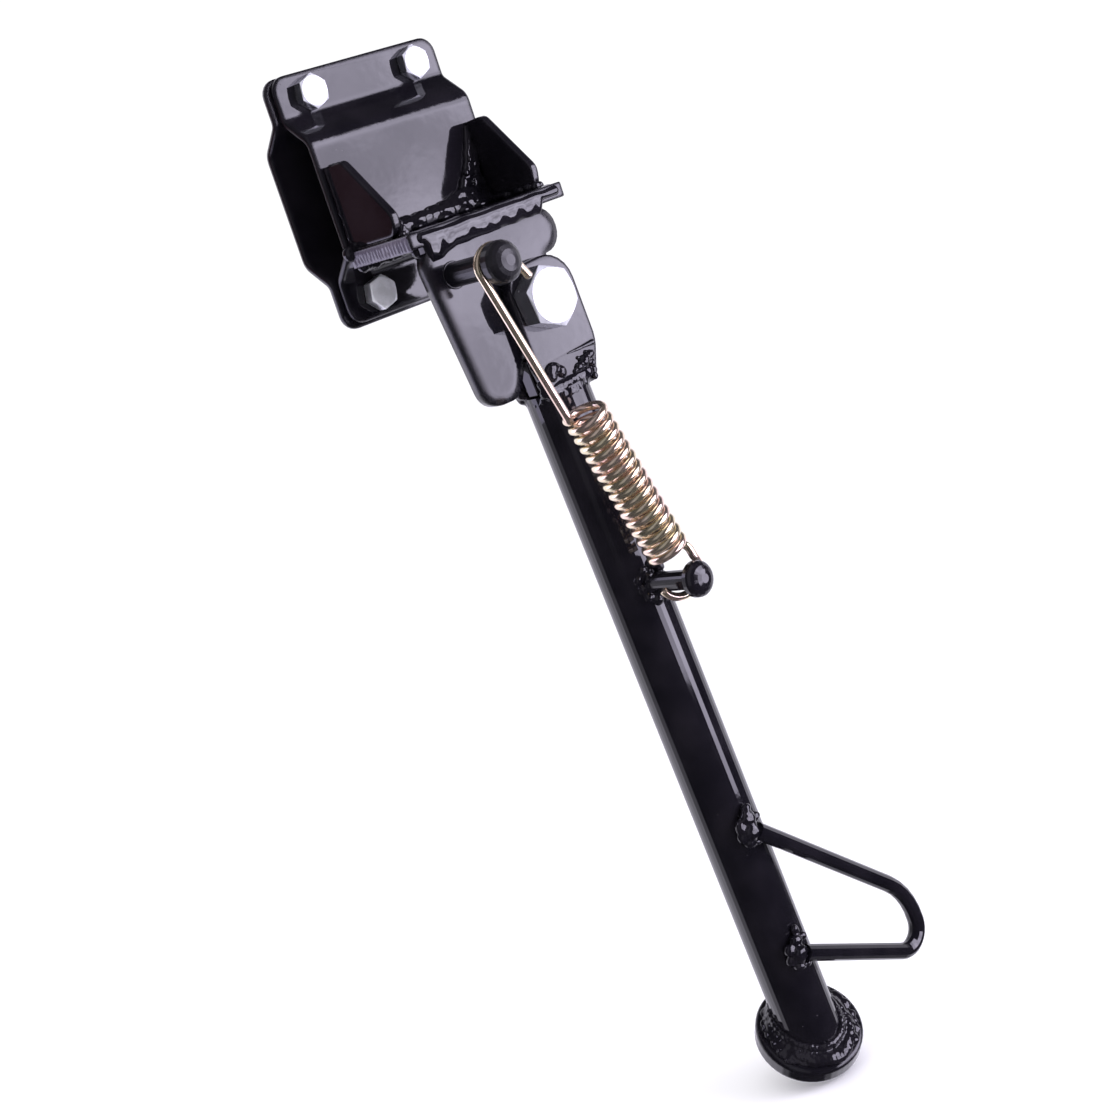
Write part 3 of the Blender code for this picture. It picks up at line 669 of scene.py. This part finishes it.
# both ends of the kick loop
balls = [(leg(-5.4, -17.2, -251.4), (4.6, 4.0, 4.9), turn), (leg(-4.6, -16.8, -245.6), (4.2, 3.2, 4.4), turn),
         (leg(-3.2, -16.0, -241.8), (2.8, 2.1, 2.6), turn), (leg(-8.8, -15.4, -247.6), (3.4, 2.8, 3.8), turn),
         (leg(-9.6, -14.8, -252.4), (3.0, 2.8, 3.2), turn), (leg(-7.2, -15.8, -256.0), (3.4, 3.0, 2.8), turn),
         (leg(-3.6, -16.2, -257.2), (3.0, 2.6, 2.2), turn), (leg(0.2, -15.8, -247.6), (3.0, 2.4, 2.6), turn),
         (leg(1.6, -15.4, -258.0), (2.6, 2.2, 1.9), turn)]
lumps("weld_loop_upper", balls, "leg", weld_paint_leg, voxel=0.4, rough=0.34, seed=35, relax=5)
balls = [(leg(-5.6, -17.0, -314.4), (4.5, 4.0, 4.7), turn), (leg(-4.2, -16.2, -309.0), (3.4, 2.8, 3.0), turn),
         (leg(-1.8, -15.6, -304.8), (2.2, 1.8, 2.8), turn), (leg(-8.8, -15.4, -311.0), (3.2, 2.8, 3.0), turn),
         (leg(-9.6, -14.8, -316.0), (2.8, 2.8, 2.8), turn), (leg(-7.0, -15.8, -319.8), (3.2, 2.8, 2.6), turn),
         (leg(-3.2, -16.2, -320.6), (3.0, 2.6, 2.2), turn), (leg(0.6, -15.6, -309.4), (2.4, 2.0, 2.2), turn),
         (leg(0.8, -15.6, -320.2), (2.4, 2.2, 2.0), turn)]
lumps("weld_loop_lower", balls, "leg", weld_paint_leg, voxel=0.4, rough=0.34, seed=36, relax=5)

# heavy weld round the tube on the foot
foot = leg(TUBE_X, 0, -357.6)
e1 = CAM_UP.cross(FOOT_N).normalized()
e2 = FOOT_N.cross(e1).normalized()
basis = Matrix((e1, e2, FOOT_N)).transposed()
axis = (turn @ Vector((0, 0, 1)))
slope = Vector((axis.dot(e1), axis.dot(e2))) / axis.dot(FOOT_N)
major = slope.normalized()
minor = Vector((-major.y, major.x))
long_r = TUBE_R / axis.dot(FOOT_N)


def on_foot(u, v, h):
    return foot + (e1 * u + e2 * v + FOOT_N * h) * MM


balls = []
for k in range(44):
    a = 2 * math.pi * k / 44
    rim = major * (long_r * math.cos(a)) + minor * (TUBE_R * math.sin(a))
    out = rim.normalized()
    r = 3.6 + 0.5 * noise.noise(Vector((2.0 * math.cos(a), 2.0 * math.sin(a), 4.0)))
    p = rim + out * 1.5
    limit = 21.0 / max(1e-6, p.length)
    if limit < 1:
        p *= limit
    balls.append((on_foot(p.x, p.y, 0.6), (r * 1.15, r * 1.15, 3.5), basis))
    climb = rim + out * 0.2 + slope * 4.2
    balls.append((on_foot(climb.x, climb.y, 4.2), 2.1, None))
for u, v, r, h in ((-18.4, 6.0, 3.2, 1.5), (-18.8, 1.0, 3.2, 1.5), (-17.0, -5.0, 3.4, 1.6), (-14.6, -9.8, 3.4, 1.7),
                   (-12.2, -14.6, 3.2, 1.5), (-8.6, -16.6, 3.4, 1.7), (-3.2, -17.8, 3.4, 1.5), (2.6, -17.2, 3.6, 1.6),
                   (8.4, -15.4, 3.6, 1.9), (13.6, -11.8, 3.8, 1.9), (17.6, -6.6, 3.8, 1.8), (19.4, -1.4, 3.2, 1.6),
                   (18.6, 5.6, 2.8, 1.6), (16.4, 11.2, 3.0, 1.8), (13.2, 15.2, 3.0, 1.6), (-16.4, 11.0, 2.8, 1.4),
                   (0.6, -20.6, 1.6, 0.9), (-10.8, -18.4, 1.7, 0.9), (20.6, 2.6, 1.8, 1.0), (-20.0, -2.4, 1.7, 0.9),
                   (8.0, 19.0, 2.6, 1.4), (0.0, 20.4, 2.4, 1.3), (-8.0, 19.2, 2.6, 1.4)):
    balls.append((on_foot(u, v, 0.2), (r * 1.35, r * 1.2, h * 1.15), basis))
lumps("weld_foot", balls, "leg", weld_paint_leg, voxel=0.45, rough=0.30, seed=37, relax=9)


# ---------------------------------------------------------------- threads on the bolt tails
def threads(name, where, radius, y0, y1, pitch, mat, body):
    """A right-hand screw thread round an axis parallel to Y, proud of the plain shank."""
    bm = bmesh.new()
    around, per = 36, 6
    total = int((y1 - y0) / pitch * per)
    grid = []
    for i in range(total + 1):
        y = y0 + (y1 - y0) * i / total
        fade = min(1.0, (y1 - y) / (pitch * 0.8), (y - y0) / (pitch * 0.3) + 0.2)
        ring = []
        for k in range(around):
            a = 2 * math.pi * k / around
            phase = ((y - y0) / pitch + k / around) % 1.0
            crest = 1.0 - abs(2 * phase - 1.0)
            r = radius + pitch * (0.03 + 0.24 * min(1.0, crest * 1.4)) * max(0.05, fade)
            ring.append(bm.verts.new(Vector((where[0] + r * math.cos(a), y, where[2] + r * math.sin(a))) * MM))
        grid.append(ring)
    inner = [[bm.verts.new(Vector((where[0] + (v.co.x / MM - where[0]) * 0.9, v.co.y / MM,
                                   where[2] + (v.co.z / MM - where[2]) * 0.9)) * MM) for v in ring]
             for ring in (grid[0], grid[-1])]
    rings = [inner[0]] + grid + [inner[1]]
    for p, q in zip(rings, rings[1:]):
        for k in range(around):
            j = (k + 1) % around
            bm.faces.new((p[k], p[j], q[j], q[k]))
    bm.faces.new(rings[0])
    bm.faces.new(list(reversed(rings[-1])))
    bmesh.ops.recalc_face_normals(bm, faces=bm.faces)
    return place(name, bm, mat, body)


for corner, (x, z) in BOLTS.items():
    threads("thread_" + corner, (x, 0, z), 4.0, 10.1, 12.9, 1.25,
            bpy.data.materials["zinc_clamp_bolt_" + corner], "clamp")
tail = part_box("pivot_bolt")[1].y / MM
threads("thread_pivot", (5.0, 0, -66.2), 8.0, -31.2, tail - 0.1, 2.0,
        bpy.data.materials["zinc_pivot_bolt"], "leg")

# ---------------------------------------------------------------- floor
low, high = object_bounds()
floor_mesh = bpy.data.meshes.new("floor")
s = 6.0
z = low.z - 0.002
floor_mesh.from_pydata([(-s, -s, z), (s, -s, z), (s, s, z), (-s, s, z)], [], [(0, 1, 2, 3)])
floor = bpy.data.objects.new("floor", floor_mesh)
bpy.context.scene.collection.objects.link(floor)
mat, g, shader, where = start("pale_floor")
g.link(g.mix(g.noise(where, 3.0), (0.93, 0.93, 0.94), (0.95, 0.95, 0.95)), shader.inputs["Base Color"])
shader.inputs["Roughness"].default_value = 0.9
shader.inputs["Specular IOR Level"].default_value = 0.0
floor_mesh.materials.append(mat)
floor.visible_glossy = False

# ---------------------------------------------------------------- camera
data = bpy.data.cameras.new("camera")
camera = bpy.data.objects.new("camera", data)
bpy.context.scene.collection.objects.link(camera)
data.sensor_width = 36.0
data.lens = 2057.79 / 1110 * 36.0
data.clip_start, data.clip_end = 0.01, 50.0
rotation = Matrix((CAM_RIGHT, CAM_UP, CAM_BACK)).transposed().to_4x4()
camera.matrix_world = Matrix.Translation(CAM_AT) @ rotation
bpy.context.scene.camera = camera


def seen(right, up, back):
    """A point given in the camera's own directions, in the row frame."""
    return CAM_AT + CAM_RIGHT * right + CAM_UP * up + CAM_BACK * back


# ---------------------------------------------------------------- softbox to the right
def softbox(name, left, right, bottom, top, strength, tint):
    """left and right are (right, back) pairs seen from the camera; it stands upright in the picture."""
    a = seen(left[0], (bottom + top) / 2, left[1])
    b = seen(right[0], (bottom + top) / 2, right[1])
    middle = (a + b) / 2
    x = (b - a).normalized()
    y = CAM_UP
    zed = x.cross(y).normalized()
    to_object = seen(0.0, 0.0, -0.9) - middle
    if zed.dot(to_object) > 0:      # an area light shines along its own -Z
        x, zed = -x, -zed
    half_w, half_h = (b - a).length / 2, (top - bottom) / 2
    sheet = bpy.data.meshes.new(name)
    sheet.from_pydata([(-half_w, -half_h, 0), (half_w, -half_h, 0), (half_w, half_h, 0), (-half_w, half_h, 0)],
                      [], [(3, 2, 1, 0)])
    mat, g, shader, where = start(name + "_cloth")
    cloud = g.noise(where, 5.5, 2.0, 0.55)
    level = g.range(cloud, 0.34, 0.66, 0.70, 1.32)
    shade = g.mix(0.0, tint, tint)
    g.link(shade, shader.inputs["Emission Color"])
    g.link(g.math("MULTIPLY", level, strength), shader.inputs["Emission Strength"])
    shader.inputs["Base Color"].default_value = (0.0, 0.0, 0.0, 1.0)
    shader.inputs["Specular IOR Level"].default_value = 0.0
    sheet.materials.append(mat)
    ob = bpy.data.objects.new(name, sheet)
    bpy.context.scene.collection.objects.link(ob)
    ob.matrix_world = Matrix.Translation(middle) @ Matrix((x, y, zed)).transposed().to_4x4()
    ob.visible_camera = ob.visible_shadow = False
    return ob


softbox("softbox_right", (0.69, -0.17), (1.02, -0.88), -0.17, 1.03, 5.6, (1.0, 0.945, 1.17))


def card(name, x, y, z0, z1, half, strength, light, dark):
    """An upright card behind the clamp's left side, seen only in the gloss."""
    w = Vector((0.8, 0.6, 0.0)) * half * MM
    corners = [row(x, y, z0) - w, row(x, y, z0) + w, row(x, y, z1) + w, row(x, y, z1) - w]
    mesh = bpy.data.meshes.new(name)
    mesh.from_pydata([tuple(c) for c in corners], [], [(0, 1, 2, 3)])
    ob = bpy.data.objects.new(name, mesh)
    bpy.context.scene.collection.objects.link(ob)
    mat, g, shader, where = start(name + "_cloth")
    g.link(g.mix(g.noise(where, 24.0), light, dark), shader.inputs["Emission Color"])
    shader.inputs["Emission Strength"].default_value = strength
    shader.inputs["Base Color"].default_value = (0.02, 0.01, 0.01, 1.0)
    shader.inputs["Roughness"].default_value = 1.0
    mesh.materials.append(mat)
    ob.visible_camera = ob.visible_diffuse = ob.visible_shadow = False


card("card_brown", -101.0, 49.0, -25.5, 51.0, 38.0, 0.36, (0.30, 0.075, 0.085), (0.16, 0.05, 0.06))
card("card_pale", -110.0, 46.0, -150.0, -26.0, 40.0, 2.5, (0.95, 0.90, 1.20), (0.80, 0.76, 1.05))

lamp = bpy.data.lights.new("key", "AREA")
lamp.shape = "RECTANGLE"
lamp.size, lamp.size_y, lamp.energy = 0.9, 0.9, 2.0
key = bpy.data.objects.new("key", lamp)
bpy.context.scene.collection.objects.link(key)
key.location = seen(-0.1, 1.3, -0.3)
key.rotation_euler = (CAM_AT + CAM_BACK * -0.9 - key.location).to_track_quat("-Z", "Y").to_euler()
key.visible_camera = key.visible_glossy = False

# ---------------------------------------------------------------- surroundings
world = bpy.data.worlds.new("studio")
bpy.context.scene.world = world
world.use_nodes = True
g = Graph(world.node_tree)
g.nodes.clear()
out = g.add("ShaderNodeOutputWorld")
direction = g.add("ShaderNodeTexCoord").outputs["Generated"]


def dot(vector):
    n = g.add("ShaderNodeVectorMath", operation="DOT_PRODUCT")
    n.inputs[1].default_value = vector
    g.link(direction, n.inputs[0])
    return n.outputs["Value"]


c_right, c_up, c_back = dot(CAM_RIGHT), dot(CAM_UP), dot(CAM_BACK)
angle = g.math("ARCTAN2", c_right, c_back)          # 0 at the camera, positive to the right
wrap_right = g.range(angle, math.radians(108), math.radians(134), 0.0, 1.0)
wrap_left = g.range(angle, math.radians(-122), math.radians(-82), 1.0, 0.0)
sides = g.math("MAXIMUM", wrap_left, wrap_right)
band = g.math("MULTIPLY", g.range(c_up, 0.55, 0.80, 1.0, 0.0), g.range(c_up, -0.93, -0.75, 0.0, 1.0))
backdrop = g.math("MULTIPLY", sides, band)
room = g.math("MULTIPLY", g.range(angle, math.radians(-40), math.radians(-28), 0.0, 1.0),
              g.range(angle, math.radians(-4), math.radians(8), 1.0, 0.0))
room = g.math("MULTIPLY", room, g.range(c_up, -0.6, -0.4, 0.0, 1.0))
falloff = g.range(g.math("ABSOLUTE", angle), math.radians(118), math.radians(160), 1.5, 1.1)
level = g.math("ADD", g.math("MULTIPLY", backdrop, falloff), g.math("MULTIPLY", room, 0.28))
level = g.math("ADD", level, 0.045)
shine = g.add("ShaderNodeBackground")
shine.inputs["Color"].default_value = (0.95, 0.92, 1.05, 1.0)
g.link(level, shine.inputs["Strength"])
soft = g.add("ShaderNodeBackground")
soft.inputs["Color"].default_value = (1.0, 0.99, 1.02, 1.0)
soft.inputs["Strength"].default_value = 1.15
plain = g.add("ShaderNodeBackground")
plain.inputs["Color"].default_value = (1.0, 1.0, 1.0, 1.0)
plain.inputs["Strength"].default_value = 1.05
path = g.add("ShaderNodeLightPath")
first = g.add("ShaderNodeMixShader")
g.link(path.outputs["Is Diffuse Ray"], first.inputs[0])
g.link(shine.outputs[0], first.inputs[1])
g.link(soft.outputs[0], first.inputs[2])
second = g.add("ShaderNodeMixShader")
g.link(path.outputs["Is Camera Ray"], second.inputs[0])
g.link(first.outputs[0], second.inputs[1])
g.link(plain.outputs[0], second.inputs[2])
g.link(second.outputs[0], out.inputs["Surface"])

scene = bpy.context.scene
scene.view_settings.view_transform = "Standard"
scene.view_settings.look = "None"
